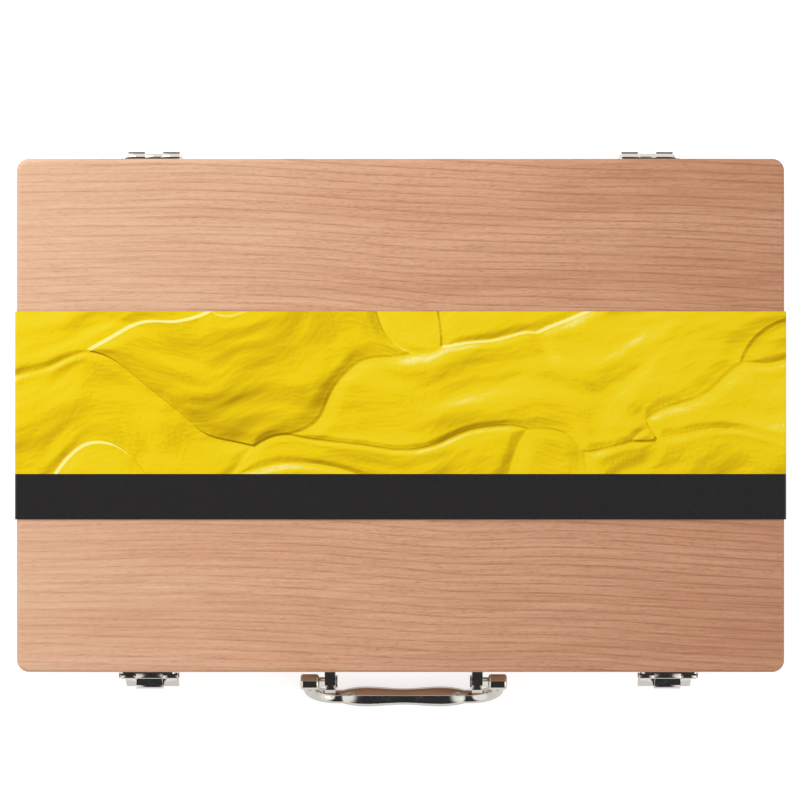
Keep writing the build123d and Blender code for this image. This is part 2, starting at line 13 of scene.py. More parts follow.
import bmesh
import bpy
from mathutils import Matrix, Vector

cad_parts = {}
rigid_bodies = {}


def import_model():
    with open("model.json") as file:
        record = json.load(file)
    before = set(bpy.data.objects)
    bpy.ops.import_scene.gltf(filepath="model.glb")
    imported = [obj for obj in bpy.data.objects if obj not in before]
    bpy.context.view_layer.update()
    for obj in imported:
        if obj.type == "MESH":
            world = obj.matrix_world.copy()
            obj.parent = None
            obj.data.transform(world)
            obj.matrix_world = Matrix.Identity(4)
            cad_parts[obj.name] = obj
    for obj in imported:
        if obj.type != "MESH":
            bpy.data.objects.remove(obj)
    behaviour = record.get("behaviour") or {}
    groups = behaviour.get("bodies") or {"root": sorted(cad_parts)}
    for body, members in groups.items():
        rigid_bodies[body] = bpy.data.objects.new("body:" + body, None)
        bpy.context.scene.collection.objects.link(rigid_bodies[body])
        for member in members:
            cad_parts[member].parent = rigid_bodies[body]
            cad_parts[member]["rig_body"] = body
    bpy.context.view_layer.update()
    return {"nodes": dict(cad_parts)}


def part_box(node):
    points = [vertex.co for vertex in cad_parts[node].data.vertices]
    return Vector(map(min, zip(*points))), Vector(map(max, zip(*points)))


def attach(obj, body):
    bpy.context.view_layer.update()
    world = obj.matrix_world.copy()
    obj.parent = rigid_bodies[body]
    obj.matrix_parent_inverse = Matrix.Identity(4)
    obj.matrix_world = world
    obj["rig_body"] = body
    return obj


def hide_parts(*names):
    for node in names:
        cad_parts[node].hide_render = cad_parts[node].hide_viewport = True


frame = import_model()
nodes = frame["nodes"]

# %% [markdown]
# ## Units and places
# Sizes are easiest to read in millimetres, so one value turns them to metres. Every place
# that a piece needs is asked from the solids, so the dressing follows them if they change.

# %% Units and places
MM = 0.001
lid_low, lid_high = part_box("lid_top_panel")
sleeve_low, sleeve_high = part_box("sleeve_wrap")
case_length = lid_high.x - lid_low.x
print("case length in mm:", round(case_length / MM, 1))

# %% [markdown]
# ## Colours
# A colour is written as a picture editor shows it, in sRGB hex. The renderer works in
# linear light, so one function does the turn.


# %% Turn a hex colour to linear light
def colour(text):
    """Linear RGBA of an sRGB hex colour such as '#D9A882'."""
    channels = [int(text[i : i + 2], 16) / 255 for i in (1, 3, 5)]
    return [c / 12.92 if c <= 0.04045 else ((c + 0.055) / 1.055) ** 2.4 for c in channels] + [1.0]


print("middle grey in linear light:", round(colour("#808080")[0], 3))

# %% [markdown]
# ## Nodes
# A material is a tree of nodes. One small function adds a node with its settings, its
# links and its colour stops, so that a material reads as a list of steps. A node given as
# an input stands for its main output. A Mix node keeps sockets for every kind of value,
# so the numbers of those for colour are named.

# %% Add a node
MIX_FACTOR, MIX_A, MIX_B, MIX_RESULT = 0, 6, 7, 2


def add(tree, kind, inputs=(), stops=(), **settings):
    """Adds a shader node; inputs are (name or index, value, socket or node) pairs."""
    node = tree.nodes.new("ShaderNode" + kind)
    for name, value in settings.items():
        setattr(node, name, value)
    for name, value in inputs:
        if isinstance(value, bpy.types.Node):
            value = value.outputs[MIX_RESULT if value.bl_idname == "ShaderNodeMix" else 0]
        if isinstance(value, bpy.types.NodeSocket):
            tree.links.new(value, node.inputs[name])
        else:
            node.inputs[name].default_value = value
    for index, (place, text) in enumerate(stops):
        elements = node.color_ramp.elements
        stop = elements[index] if index < 2 else elements.new(place)
        stop.position = place
        stop.color = colour(text)
    return node


# %% [markdown]
# A value that is the same all over a surface belongs on the shader itself, where every
# other program can read it. So a new material is started with those values.


# %% Start a material
def start_material(name, **values):
    """A new material with its shader's own values set; returns material, tree and shader."""
    material = bpy.data.materials.new(name)
    material.use_nodes = True
    shader = material.node_tree.nodes["Principled BSDF"]
    for socket, value in values.items():
        shader.inputs[socket.replace("_", " ")].default_value = value
    return material, material.node_tree, shader


# %% [markdown]
# ## Beech
# The case is steamed beech, sanded fine and sealed with a thin satin coat. Beech has
# almost no pores. What tells it from other woods is its fleck: short dark dashes, about
# 4 mm long and under half a millimetre wide, all lying along the grain. With them go a
# thin dark line about every 4 mm, where one year's growth ends, and soft bands some 20 mm
# apart. A picture of wood would show one board only. Noises at real sizes give every
# board its own grain.

# %% Sizes of the grain, along it and across it
BAND = (240.0 * MM, 20.0 * MM)
LINE = (60.0 * MM, 1.2 * MM)
STREAK = (20.0 * MM, 0.50 * MM)
FIBRE = (5.0 * MM, 0.30 * MM)
FLECK = (3.6 * MM, 0.36 * MM)
DRIFT_LENGTH, DRIFT_HEIGHT = 170.0 * MM, 10.0 * MM
RING_SPACING, RING_STRETCH = 4.3 * MM, 0.04
print("year lines across the lid:", round((lid_high.y - lid_low.y) / RING_SPACING))

# %% [markdown]
# A noise is round by nature. Stretching its coordinates along the grain draws its spots
# out to dashes and lines. One slow drift bends the coordinates first, so that all the
# marks wander together, as they do in a sawn board.


# %% Noise drawn out along the grain
def by_axis(axis, along, across):
    """Three numbers, of which the grain's axis gets its own."""
    return [along if index == axis else across for index in range(3)]


def drifted(tree, place, axis):
    """The place in the board, moved across the grain by a slow drift."""
    drift = add(tree, "TexNoise", [("Vector", place), ("Scale", 1 / DRIFT_LENGTH), ("Detail", 1.0)])
    reach = by_axis(axis, 0.0, DRIFT_HEIGHT)
    return add(
        tree, "VectorMath", [(0, drift.outputs["Color"]), (1, reach), (2, place)], operation="MULTIPLY_ADD"
    )


def grain_noise(tree, place, axis, size, seed, detail, distortion=0.0):
    """Noise whose marks have a real length along the grain and a real width across it."""
    length, width = size
    scale = by_axis(axis, 1 / length, 1 / width)
    spot = add(tree, "Mapping", [("Vector", place), ("Scale", scale), ("Location", [seed] * 3)])
    noise = [("Vector", spot), ("Scale", 1.0), ("Detail", detail), ("Distortion", distortion)]
    return add(tree, "TexNoise", noise).outputs["Fac"]


# %% [markdown]
# The year lines are evenly spaced, which a noise never is, so a wave texture gives them.
# Its bands run diagonally, to show on the top of a board and on its edge, and they are
# squeezed along the grain until they lie almost along it.

# %% Year lines
# Metres from one wave to the next at a scale of 1, for diagonal and for straight bands.
DIAGONAL_WAVE, STRAIGHT_WAVE = 0.628, 0.314
RING_WANDER, RING_WANDER_SCALE = 2.8, 0.7


def year_lines(tree, place, axis, seed):
    """Waves across the grain whose crests are the year lines."""
    squeezed = by_axis(axis, RING_STRETCH, 1.0)
    along = add(tree, "Mapping", [("Vector", place), ("Scale", squeezed), ("Location", [seed] * 3)])
    waves = add(
        tree,
        "TexWave",
        [("Vector", along), ("Scale", DIAGONAL_WAVE / RING_SPACING), ("Distortion", RING_WANDER),
         ("Detail", 1.0), ("Detail Scale", RING_WANDER_SCALE)],
        bands_direction="DIAGONAL",
    )
    return waves.outputs["Fac"]


# %% [markdown]
# The ground tone comes from the bands and the fine lines. Over it lies painted light and
# shade: the lid is paler at its left end and darker at its right end, and a little darker
# to the front, as the light from the back left falls off. Each board takes its own share of it.

# %% Ground tone
MIDDLE_BEECH = "#D8A380"
BAND_SHARE, LINE_SHARE, GROUND_LEVEL = 0.29, 0.34, 0.112
# Painted light and shade along the case: the tone rises at the left end and drops at the right end and at
# the front.
LEFT_SHADE_SHIFT, RIGHT_SHADE_SHIFT, FRONT_SHADE_SHIFT, FRONT_SHADE_REACH = 0.15, -0.20, -0.05, 0.1
DEEP_STOP, MIDDLE_STOP, PALE_STOP = 0.08, 0.43, 0.66
case_ends = [("From Min", -case_length / 2), ("From Max", case_length / 2)]


def ground_tone(tree, bands, lines, split, pale, deep, shade_and_grain):
    """The soft tone of the board under its marks, with painted light and shade along the case."""
    mixed = add(tree, "Math", [(0, lines), (1, LINE_SHARE), (2, GROUND_LEVEL)], operation="MULTIPLY_ADD")
    figure = add(tree, "Math", [(0, bands), (1, BAND_SHARE), (2, mixed)], operation="MULTIPLY_ADD")
    # Painted light and shade: paler at the left end, darker at the right end and towards the front.
    sideways = [("To Min", LEFT_SHADE_SHIFT * shade_and_grain), ("To Max", RIGHT_SHADE_SHIFT * shade_and_grain)]
    painted_side_shade = add(tree, "MapRange", [("Value", split.outputs["X"]), *case_ends, *sideways])
    painted_front_shade = add(
        tree,
        "MapRange",
        [("Value", split.outputs["Y"]), ("From Min", -FRONT_SHADE_REACH), ("From Max", FRONT_SHADE_REACH),
         ("To Min", FRONT_SHADE_SHIFT * shade_and_grain), ("To Max", 0.0)],
    )
    shifted = add(tree, "Math", [(0, painted_side_shade), (1, painted_front_shade)])
    toned = add(tree, "Math", [(0, figure), (1, shifted)])
    tones = [(DEEP_STOP, deep), (PALE_STOP, pale), (MIDDLE_STOP, MIDDLE_BEECH)]
    return add(tree, "ValToRGB", [("Fac", toned)], tones)


print("ground tone stops:", DEEP_STOP, MIDDLE_STOP, PALE_STOP)

# %% [markdown]
# The marks lie over the ground one after another: streaks, year lines and flecks. Each
# starts at one value of its pattern and is full at another, and has a depth and a tone.
# The marks grow stronger towards the right end of the case. The streaks break up the year
# lines. A part of the fine lines' value is taken off the flecks, so that they gather where it is darker.

# %% Marks over the ground
STREAK_MARK = (0.53, 0.64, 0.17, "#A66E49")
RING_MARK = (0.82, 1.0, 0.50, "#9C6442")
FLECK_MARK = (0.40, 0.58, 0.50, "#A06C4A")
LEFT_FAINTER, RIGHT_STRONGER = 0.55, 0.50
LINES_OFF_FLECKS = -0.30


def mark(tree, wood, pattern, looks, strengths):
    """Lays a tone over the wood where a pattern is high, as much as the strengths say."""
    start, full, depth, tone = looks
    amount = add(
        tree,
        "MapRange",
        [("Value", pattern), ("From Min", start), ("From Max", full), ("To Min", 0.0), ("To Max", depth)],
    )
    for strength in strengths:
        amount = add(tree, "Math", [(0, amount), (1, strength)], operation="MULTIPLY")
    return add(tree, "Mix", [(MIX_FACTOR, amount), (MIX_A, wood), (MIX_B, colour(tone))], data_type="RGBA")


def marked(tree, wood, streaks, rings, lines, flecks, strength):
    """The ground with its streaks, year lines and flecks."""
    broken = add(
        tree,
        "MapRange",
        [("Value", streaks), ("From Min", 0.35), ("From Max", 0.60), ("To Min", 0.35), ("To Max", 1.0)],
    )
    gathered = add(tree, "Math", [(0, lines), (1, LINES_OFF_FLECKS), (2, flecks)], operation="MULTIPLY_ADD")
    streaked = mark(tree, wood, streaks, STREAK_MARK, [strength])
    ringed = mark(tree, streaked, rings, RING_MARK, [broken, strength])
    return mark(tree, ringed, gathered, FLECK_MARK, [strength])


print("marks:", STREAK_MARK[-1], RING_MARK[-1], FLECK_MARK[-1])

# %% [markdown]
# Where a face cuts across the grain, as on the fingers of the corner joints, the open
# fibres drink the sealer and the wood is darker. The face's own normal tells which faces
# those are. Fine fibres stand up a few hundredths of a millimetre, which breaks the gloss.

# %% Beech, with its grain along one axis
END_GRAIN, END_GRAIN_DEPTH = "#A9764F", 0.62
FIBRE_RELIEF, FIBRE_HEIGHT = 0.12, 0.03 * MM


def beech(name, grain, pale="#E7BD9A", deep="#AE7350", shade_and_grain=0.0, seed=0.0):
    """Beech whose grain lies along 'X' or 'Y'; it takes a share of painted shade that darkens it along +X
    and to the front, and its marks grow stronger along +X.
    """
    material, tree, shader = start_material(name, Roughness=0.42)
    place = add(tree, "TexCoord")
    axis = "XYZ".index(grain)
    waved = drifted(tree, place.outputs["Object"], axis)
    bands = grain_noise(tree, waved, axis, BAND, seed, 3.0, 0.6)
    lines = grain_noise(tree, waved, axis, LINE, seed, 4.0, 0.3)
    streaks = grain_noise(tree, waved, axis, STREAK, seed, 2.0)
    fibres = grain_noise(tree, waved, axis, FIBRE, seed, 2.0)
    flecks = grain_noise(tree, waved, axis, FLECK, seed, 1.0)
    rings = year_lines(tree, waved, axis, seed)
    split = add(tree, "SeparateXYZ", [(0, place.outputs["Object"])])
    ground = ground_tone(tree, bands, lines, split, pale, deep, shade_and_grain)
    fibre_shade = add(
        tree,
        "MapRange",
        [("Value", fibres), ("From Min", 0.3), ("From Max", 0.7), ("To Min", 0.93), ("To Max", 1.05)],
    )
    fibred = add(tree, "VectorMath", [(0, ground), ("Scale", fibre_shade)], operation="SCALE")
    strengths = [("To Min", 1 - LEFT_FAINTER * shade_and_grain), ("To Max", 1 + RIGHT_STRONGER * shade_and_grain)]
    grain_strength = add(tree, "MapRange", [("Value", split.outputs["X"]), *case_ends, *strengths])
    wood = marked(tree, fibred, streaks, rings, lines, flecks, grain_strength)
    facing = add(
        tree,
        "VectorMath",
        [(0, place.outputs["Normal"]), (1, by_axis(axis, 1.0, 0.0))],
        operation="DOT_PRODUCT",
    )
    across = add(tree, "Math", [(0, facing.outputs["Value"])], operation="ABSOLUTE")
    end_mask = add(
        tree,
        "MapRange",
        [("Value", across), ("From Min", 0.6), ("From Max", 0.95), ("To Max", END_GRAIN_DEPTH)],
    )
    finished = add(
        tree,
        "Mix",
        [(MIX_FACTOR, end_mask), (MIX_A, wood), (MIX_B, colour(END_GRAIN))],
        data_type="RGBA",
    )
    tree.links.new(finished.outputs[MIX_RESULT], shader.inputs["Base Color"])
    relief = add(
        tree, "Bump", [("Height", fibres), ("Strength", FIBRE_RELIEF), ("Distance", FIBRE_HEIGHT)]
    )
    tree.links.new(relief.outputs[0], shader.inputs["Normal"])
    return material


# The lid takes the full painted shade, the long boards part of it.
lid_beech = beech("beech_lid_panel", "X", shade_and_grain=1.0)
long_beech = beech("beech_long_boards", "X", shade_and_grain=0.6, seed=3.1)
cross_beech = beech("beech_cross_boards", "Y", seed=7.7)
floor_beech = beech("beech_bottom_panel", "X", seed=12.4)
upright_beech = beech("beech_dividers", "X", pale="#E3BB96", deep="#BC8A62", seed=5.2)
short_beech = beech("beech_short_divider", "Y", pale="#E3BB96", deep="#BC8A62", seed=9.3)
print("nodes in one beech:", len(lid_beech.node_tree.nodes))

# %% [markdown]
# ## Nickel, steel and aluminium
# Hinges, latches, handle and screws are pressed or cast steel with bright nickel plate.
# Nickel is a touch warmer than chrome. Its colour is all in its reflection, so the base
# colour is the metal's own reflectance and the shader is fully metallic. Barrel plating
# leaves a faint unevenness, a few millimetres across, that breaks the mirror a little. In
# the recess of a screw the plating is thin and dull, and its much darker tone is also
# painted shade of the hollow. The knife's blade is ground along its length, so its noise
# is drawn out to scratches, coarser than real ones to be seen.

# %% Nickel, steel and aluminium
PLATING_SPOT, PLATING_RELIEF = 2.5 * MM, 0.05 * MM
GRINDING_SCRATCH, ALONG_BLADE = 0.45 * MM, (0.03, 1, 1)


def metal(name, tone, smooth, rough, spot=PLATING_SPOT, stretch=(1, 1, 1), relief=0.08):
    """A bare or plated metal whose roughness wanders between two values."""
    material, tree, shader = start_material(name, Metallic=1.0)
    shader.inputs["Base Color"].default_value = colour(tone)
    place = add(tree, "TexCoord")
    drawn = add(tree, "Mapping", [("Vector", place.outputs["Object"]), ("Scale", stretch)])
    noise = add(
        tree, "TexNoise", [("Vector", drawn), ("Scale", 1 / spot), ("Detail", 3.0)]
    )
    wander = add(
        tree,
        "MapRange",
        [("Value", noise.outputs["Fac"]), ("From Min", 0.3), ("From Max", 0.7), ("To Min", smooth),
         ("To Max", rough)],
    )
    tree.links.new(wander.outputs[0], shader.inputs["Roughness"])
    dimple = add(
        tree, "Bump", [("Height", noise.outputs["Fac"]), ("Strength", relief), ("Distance", PLATING_RELIEF)]
    )
    tree.links.new(dimple.outputs[0], shader.inputs["Normal"])
    return material


nickel = metal("nickel_plate", "#D3CFC8", 0.07, 0.15)
screw_nickel = metal("nickel_screws", "#CBC7C0", 0.16, 0.28)
ferrule_aluminium = metal("spun_aluminium", "#D8D8DA", 0.18, 0.30)
blade_steel = metal("ground_spring_steel", "#A9A9A7", 0.20, 0.34, GRINDING_SCRATCH, ALONG_BLADE, 0.6)
# Thin dull nickel, darkened further as painted shade of the screw recess.
recess_nickel_and_shade = metal("thin_nickel_with_painted_shade", "#6F6C67", 0.35, 0.50)
metals = (nickel, screw_nickel, ferrule_aluminium, blade_steel, recess_nickel_and_shade)
print("metals:", [material.name for material in metals])

# %% [markdown]
# ## Printed card
# The sleeve is half-millimetre folding card, printed and sealed. Its yellow part shows
# thick paint pushed about with a knife. The strokes are cells, stretched and laid in a
# swirled field.

# %% Knife strokes
SWIRL, SWIRL_REACH = 75.0 * MM, 60.0 * MM
STROKE_WIDTH, STROKE_STRETCH, STROKE_TURN = 60.0 * MM, 0.42, math.radians(-34)


def stroke_cells(tree, place, feature):
    """Long overlapping strokes; returns the coordinates they lie in and their cells."""
    swirl = add(
        tree,
        "TexNoise",
        [("Vector", place), ("Scale", 1 / SWIRL), ("Detail", 1.0), ("Roughness", 0.35)],
    )
    moved = add(
        tree,
        "VectorMath",
        [(0, swirl.outputs["Color"]), (1, [SWIRL_REACH] * 3), (2, place)],
        operation="MULTIPLY_ADD",
    )
    laid = add(
        tree,
        "Mapping",
        [("Vector", moved), ("Rotation", (0, 0, STROKE_TURN)), ("Scale", (STROKE_STRETCH, 1.0, 1.0))],
    )
    cells = add(tree, "TexVoronoi", [("Vector", laid), ("Scale", 1 / STROKE_WIDTH)], feature=feature)
    return laid, cells


print("strokes along the sleeve:", round((sleeve_high.x - sleeve_low.x) * STROKE_STRETCH / STROKE_WIDTH))

# %% [markdown]
# The height of the paint adds up from four things: a ridge along the edge of each stroke,
# a step from one stroke to the next, soft folds, and fine bristle lines.

# %% Height of the paint
RIDGE_SHARE, RIDGE_HEIGHT = 0.07, 0.13
STEP_HEIGHT, FOLD_HEIGHT, BRISTLE_HEIGHT = 0.16, 1.0, 0.05
FOLD, BRISTLE, BRISTLE_STRETCH = 26.0 * MM, 0.9 * MM, 0.12


def paint_height(tree, place, shift):
    """Height of the printed paint at a place moved by shift."""
    moved = add(tree, "Mapping", [("Vector", place), ("Location", shift)])
    laid, cells = stroke_cells(tree, moved.outputs[0], "DISTANCE_TO_EDGE")
    height = add(
        tree,
        "MapRange",
        [("Value", cells.outputs["Distance"]), ("From Max", RIDGE_SHARE), ("To Min", RIDGE_HEIGHT),
         ("To Max", 0.0)],
        interpolation_type="SMOOTHSTEP",
    )
    folds = add(
        tree,
        "TexNoise",
        [("Vector", laid), ("Scale", 1 / FOLD), ("Detail", 2.0), ("Roughness", 0.35)],
    )
    combed = add(tree, "Mapping", [("Vector", laid), ("Scale", (BRISTLE_STRETCH, 1.0, 1.0))])
    bristles = add(tree, "TexNoise", [("Vector", combed), ("Scale", 1 / BRISTLE), ("Detail", 2.0)])
    strokes = stroke_cells(tree, moved.outputs[0], "F1")[1]
    layer = add(tree, "SeparateColor", [(0, strokes.outputs["Color"])])
    for part, share in (
        (layer.outputs[1], STEP_HEIGHT),
        (folds.outputs["Fac"], FOLD_HEIGHT),
        (bristles.outputs["Fac"], BRISTLE_HEIGHT),
    ):
        height = add(tree, "Math", [(0, part), (1, share), (2, height)], operation="MULTIPLY_ADD")
    return height


# %% [markdown]
# Printed shading is only colour, so it has to be worked out as a picture. The same height
# is read twice, a little apart, and the difference gives a lit and a shaded side to every
# ridge. Each stroke also has a tone of its own.

# %% Yellow of the print
LIGHT_STEP = 1.3 * MM
SLOPE_REACH, STROKE_TONE = 0.13, 0.13
YELLOWS = [
    (0.02, "#A07C04"), (0.98, "#FBEE90"), (0.26, "#CDA808"), (0.50, "#ECCA0C"), (0.76, "#F0D324"),
]


def printed_yellow(tree, place):
    """The shaded picture of thick yellow paint."""
    here = paint_height(tree, place, (0, 0, 0))
    toward_light = paint_height(tree, place, (LIGHT_STEP, -LIGHT_STEP, 0))
    slope = add(tree, "Math", [(0, here), (1, toward_light)], operation="SUBTRACT")
    lit = add(tree, "MapRange", [("Value", slope), ("From Min", -SLOPE_REACH), ("From Max", SLOPE_REACH)])
    strokes = stroke_cells(tree, place, "F1")[1]
    stroke_tone = add(tree, "SeparateColor", [(0, strokes.outputs["Color"])])
    shifted = add(
        tree, "MapRange", [("Value", stroke_tone), ("To Min", -STROKE_TONE), ("To Max", STROKE_TONE)]
    )
    toned = add(tree, "Math", [(0, lit), (1, shifted)])
    return add(tree, "ValToRGB", [("Fac", toned)], YELLOWS)


print("tones of yellow:", len(YELLOWS))

# %% [markdown]
# Only the outer faces are printed. The cut edges and the inside are bare pulp. A face
# tells by its place and its normal which it is.

# %% Where the card is bare
PRINT_DEPTH = 0.3 * MM
EDGE_FACING = 0.7


def bare_card(tree, place, split):
    """One where the card shows its pulp, and nought where it is printed."""
    facing = add(
        tree, "VectorMath", [(0, place.outputs["Normal"]), (1, (0, 1, 0))], operation="DOT_PRODUCT"
    )
    cut_edge = add(tree, "Math", [(0, facing.outputs["Value"])], operation="ABSOLUTE")
    is_edge = add(tree, "Math", [(0, cut_edge), (1, EDGE_FACING)], operation="GREATER_THAN")
    sideways = add(tree, "Math", [(0, split.outputs["X"])], operation="ABSOLUTE")
    side, top, under = (
        add(tree, "Math", [(0, value), (1, limit)], operation=test)
        for value, limit, test in (
            (sideways, sleeve_high.x - PRINT_DEPTH, "GREATER_THAN"),
            (split.outputs["Z"], sleeve_high.z - PRINT_DEPTH, "GREATER_THAN"),
            (split.outputs["Z"], PRINT_DEPTH, "LESS_THAN"),
        )
    )
    printed = side
    for face in (top, under):
        printed = add(tree, "Math", [(0, printed), (1, face)], operation="MAXIMUM")
    unprinted = add(tree, "Math", [(0, 1.0), (1, printed)], operation="SUBTRACT")
    return add(tree, "Math", [(0, is_edge), (1, unprinted)], operation="MAXIMUM")


print("printed faces reach in by mm:", round(PRINT_DEPTH / MM, 2))

# %% [markdown]
# The black strip runs along the front edge. The seal over the ink is smooth, but it
# mirrors less than plastic does, so the shader's specular level is halved.

# %% The sleeve's card
STRIP_DEPTH = 22.75 * MM
INK_GRAIN = 900.0
SEALED, BARE = 0.12, 0.75


def printed_card(name):
    """Coated folding card with the yellow paint print and the black strip."""
    material, tree, shader = start_material(name, Specular_IOR_Level=0.25)
    place = add(tree, "TexCoord")
    yellow = printed_yellow(tree, place.outputs["Object"])
    split = add(tree, "SeparateXYZ", [(0, place.outputs["Object"])])
    strip_edge = sleeve_low.y + STRIP_DEPTH
    strip = add(tree, "Math", [(0, split.outputs["Y"]), (1, strip_edge)], operation="LESS_THAN")
    ink_noise = add(
        tree, "TexNoise", [("Vector", place.outputs["Object"]), ("Scale", INK_GRAIN), ("Detail", 2.0)]
    )
    black, pulp = (
        add(tree, "ValToRGB", [("Fac", ink_noise.outputs["Fac"])], [(0.3, dark), (0.7, pale)])
        for dark, pale in (("#292728", "#2D2B2C"), ("#D8D2C4", "#E6E1D5"))
    )
    inked = add(tree, "Mix", [(MIX_FACTOR, strip), (MIX_A, yellow), (MIX_B, black)], data_type="RGBA")
    bare = bare_card(tree, place, split)
    finished = add(tree, "Mix", [(MIX_FACTOR, bare), (MIX_A, inked), (MIX_B, pulp)], data_type="RGBA")
    sheen = add(tree, "MapRange", [("Value", bare), ("To Min", SEALED), ("To Max", BARE)])
    tree.links.new(sheen.outputs[0], shader.inputs["Roughness"])
    tree.links.new(finished.outputs[MIX_RESULT], shader.inputs["Base Color"])
    return material


sleeve_print = printed_card("printed_folding_card")
print("nodes in the print:", len(sleeve_print.node_tree.nodes))

# %% [markdown]
# ## Paint tubes
# Artists' tubes are soft aluminium with white lacquer and a band in the colour of the
# paint. The folded crimp at the tail stays bare metal, with fine ribs from the pliers.
# Handling leaves shallow dents a centimetre or so across, so a little bump of that size
# is mixed in. Ten tubes are ten materials from one function, which differ in the band.

# %% Lacquered tubes
TUBE_COLOURS = (
    "#F4F2EC", "#F2C811", "#E8701A", "#C8202A", "#A3195B",
    "#273C8E", "#1E79B8", "#1F7A4A", "#7A4A25", "#1B1B1D",
)
CRIMP_DEPTH = 8.5 * MM
CRIMP_RIB, CRIMP_RIB_HEIGHT = 1.4 * MM, 0.3 * MM
BAND_START, BAND_END = 26.0 * MM, 78.0 * MM
RING_PLACE, RING_HALF_WIDTH = 82.0 * MM, 0.8 * MM
DENT, DENT_DEPTH = 11.0 * MM, 1.2 * MM


def tube_lacquer(name, band, low_y):
    """White lacquer with one colour band, bare metal at the crimp."""
    material, tree, shader = start_material(name, Roughness=0.32)
    place = add(tree, "TexCoord").outputs["Object"]
    along = add(tree, "SeparateXYZ", [(0, place)]).outputs["Y"]
    after = add(tree, "Math", [(0, along), (1, low_y + BAND_START)], operation="GREATER_THAN")
    before = add(tree, "Math", [(0, along), (1, low_y + BAND_END)], operation="LESS_THAN")
    inside = add(tree, "Math", [(0, after), (1, before)], operation="MULTIPLY")
    ring = add(
        tree, "Math", [(0, along), (1, low_y + RING_PLACE), (2, RING_HALF_WIDTH)], operation="COMPARE"
    )
    coloured = add(tree, "Math", [(0, inside), (1, ring)], operation="MAXIMUM")
    bare = add(tree, "Math", [(0, along), (1, low_y + CRIMP_DEPTH)], operation="LESS_THAN")
    tone = colour("#ECEAE4")
    for mask, over in ((coloured, band), (bare, "#C9C9CA")):
        layers = [(MIX_FACTOR, mask), (MIX_A, tone), (MIX_B, colour(over))]
        tone = add(tree, "Mix", layers, data_type="RGBA")
    tree.links.new(tone.outputs[MIX_RESULT], shader.inputs["Base Color"])
    tree.links.new(bare.outputs[0], shader.inputs["Metallic"])
    dents = add(tree, "TexNoise", [("Vector", place), ("Scale", 1 / DENT), ("Detail", 2.0)])
    relief = add(
        tree, "Bump", [("Height", dents.outputs["Fac"]), ("Strength", 0.5), ("Distance", DENT_DEPTH)]
    )
    waves = [("Vector", place), ("Scale", STRAIGHT_WAVE / CRIMP_RIB)]
    ribs = add(tree, "TexWave", waves, bands_direction="Y")
    crimped = add(
        tree,
        "Bump",
        [("Height", ribs.outputs["Fac"]), ("Strength", bare), ("Distance", CRIMP_RIB_HEIGHT),
         ("Normal", relief)],
    )
    tree.links.new(crimped.outputs[0], shader.inputs["Normal"])
    return material


print("tubes:", len(TUBE_COLOURS))

# %% [markdown]
# ## Small finishes
# Each still has a pattern at its own scale, so that nothing is one flat colour.

# %% Plastic, lacquer, hair and paper
SPECKLE_RELIEF = 0.1 * MM


def speckled(name, dark, pale, spot, rough, coat=0.0, stretch=(1, 1, 1), bump=0.05):
    """A finish that wanders between two tones over spots of a real size."""
    material, tree, shader = start_material(name, Roughness=rough, Coat_Weight=coat)
    place = add(tree, "TexCoord")
    scaled = add(tree, "Mapping", [("Vector", place.outputs["Object"]), ("Scale", stretch)])
    noise = add(
        tree, "TexNoise", [("Vector", scaled), ("Scale", 1 / spot), ("Detail", 3.0)]
    )
    tone = add(tree, "ValToRGB", [("Fac", noise.outputs["Fac"])], [(0.3, dark), (0.7, pale)])
    tree.links.new(tone.outputs[0], shader.inputs["Base Color"])
    relief = add(
        tree, "Bump", [("Height", noise.outputs["Fac"]), ("Strength", bump), ("Distance", SPECKLE_RELIEF)]
    )
    tree.links.new(relief.outputs[0], shader.inputs["Normal"])
    return material


cap_plastic = speckled("moulded_polypropylene", "#1A1A1C", "#242427", 0.6 * MM, 0.42)
brush_lacquer = speckled(
    "red_brush_lacquer", "#5E130F", "#76201A", 2.0 * MM, 0.22, 0.6, stretch=(0.1, 1, 1), bump=0.02
)
brush_hair = speckled(
    "golden_synthetic_hair", "#9A6A2C", "#D6A458", 0.35 * MM, 0.5, stretch=(0.03, 1, 1), bump=0.3
)
knife_wood = speckled(
    "waxed_hardwood", "#3E2212", "#6A4025", 0.8 * MM, 0.36, 0.2, stretch=(0.08, 1, 1), bump=0.15
)
pad_paper = speckled(
    "coated_pad_sheets", "#ECE9E1", "#F3F1EA", 0.8 * MM, 0.62, stretch=(1, 1, 0.2), bump=0.04
)
pad_board = speckled("grey_backing_board", "#8E8980", "#A39E94", 0.5 * MM, 0.8, bump=0.2)
pad_gum = speckled("padding_glue", "#7E1F1C", "#94302A", 1.0 * MM, 0.35)
print("materials so far:", len(bpy.data.materials))

# %% [markdown]
# A brush handle is dipped: first all of it in red, then its tail in gold, then a little
# less of it in black, which leaves a gold ring. The same order works in the material.

# %% Dipped tail of the brush handles
GOLD_REACH, BLACK_REACH = 17.5 * MM, 16.0 * MM
tree = brush_lacquer.node_tree
shader = tree.nodes["Principled BSDF"]
lacquer_tone = shader.inputs["Base Color"].links[0].from_socket
split = add(tree, "SeparateXYZ", [(0, add(tree, "TexCoord").outputs["Object"])])
tail_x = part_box("brush_handles")[0].x
for reach, tone in ((GOLD_REACH, "#C9A24A"), (BLACK_REACH, "#17110F")):
    dipped = add(tree, "Math", [(0, split.outputs["X"]), (1, tail_x + reach)], operation="LESS_THAN")
    layers = [(MIX_FACTOR, dipped), (MIX_A, lacquer_tone), (MIX_B, colour(tone))]
    lacquer_tone = add(tree, "Mix", layers, data_type="RGBA").outputs[MIX_RESULT]
tree.links.new(lacquer_tone, shader.inputs["Base Color"])
print("gold ring in mm:", round((GOLD_REACH - BLACK_REACH) / MM, 1))

# %% [markdown]
# ## Giving the solids their finishes
# A solid keeps its mesh; only its material slot changes. Boards are named one by one,
# because their grain differs, and the metal fittings are found by their names.

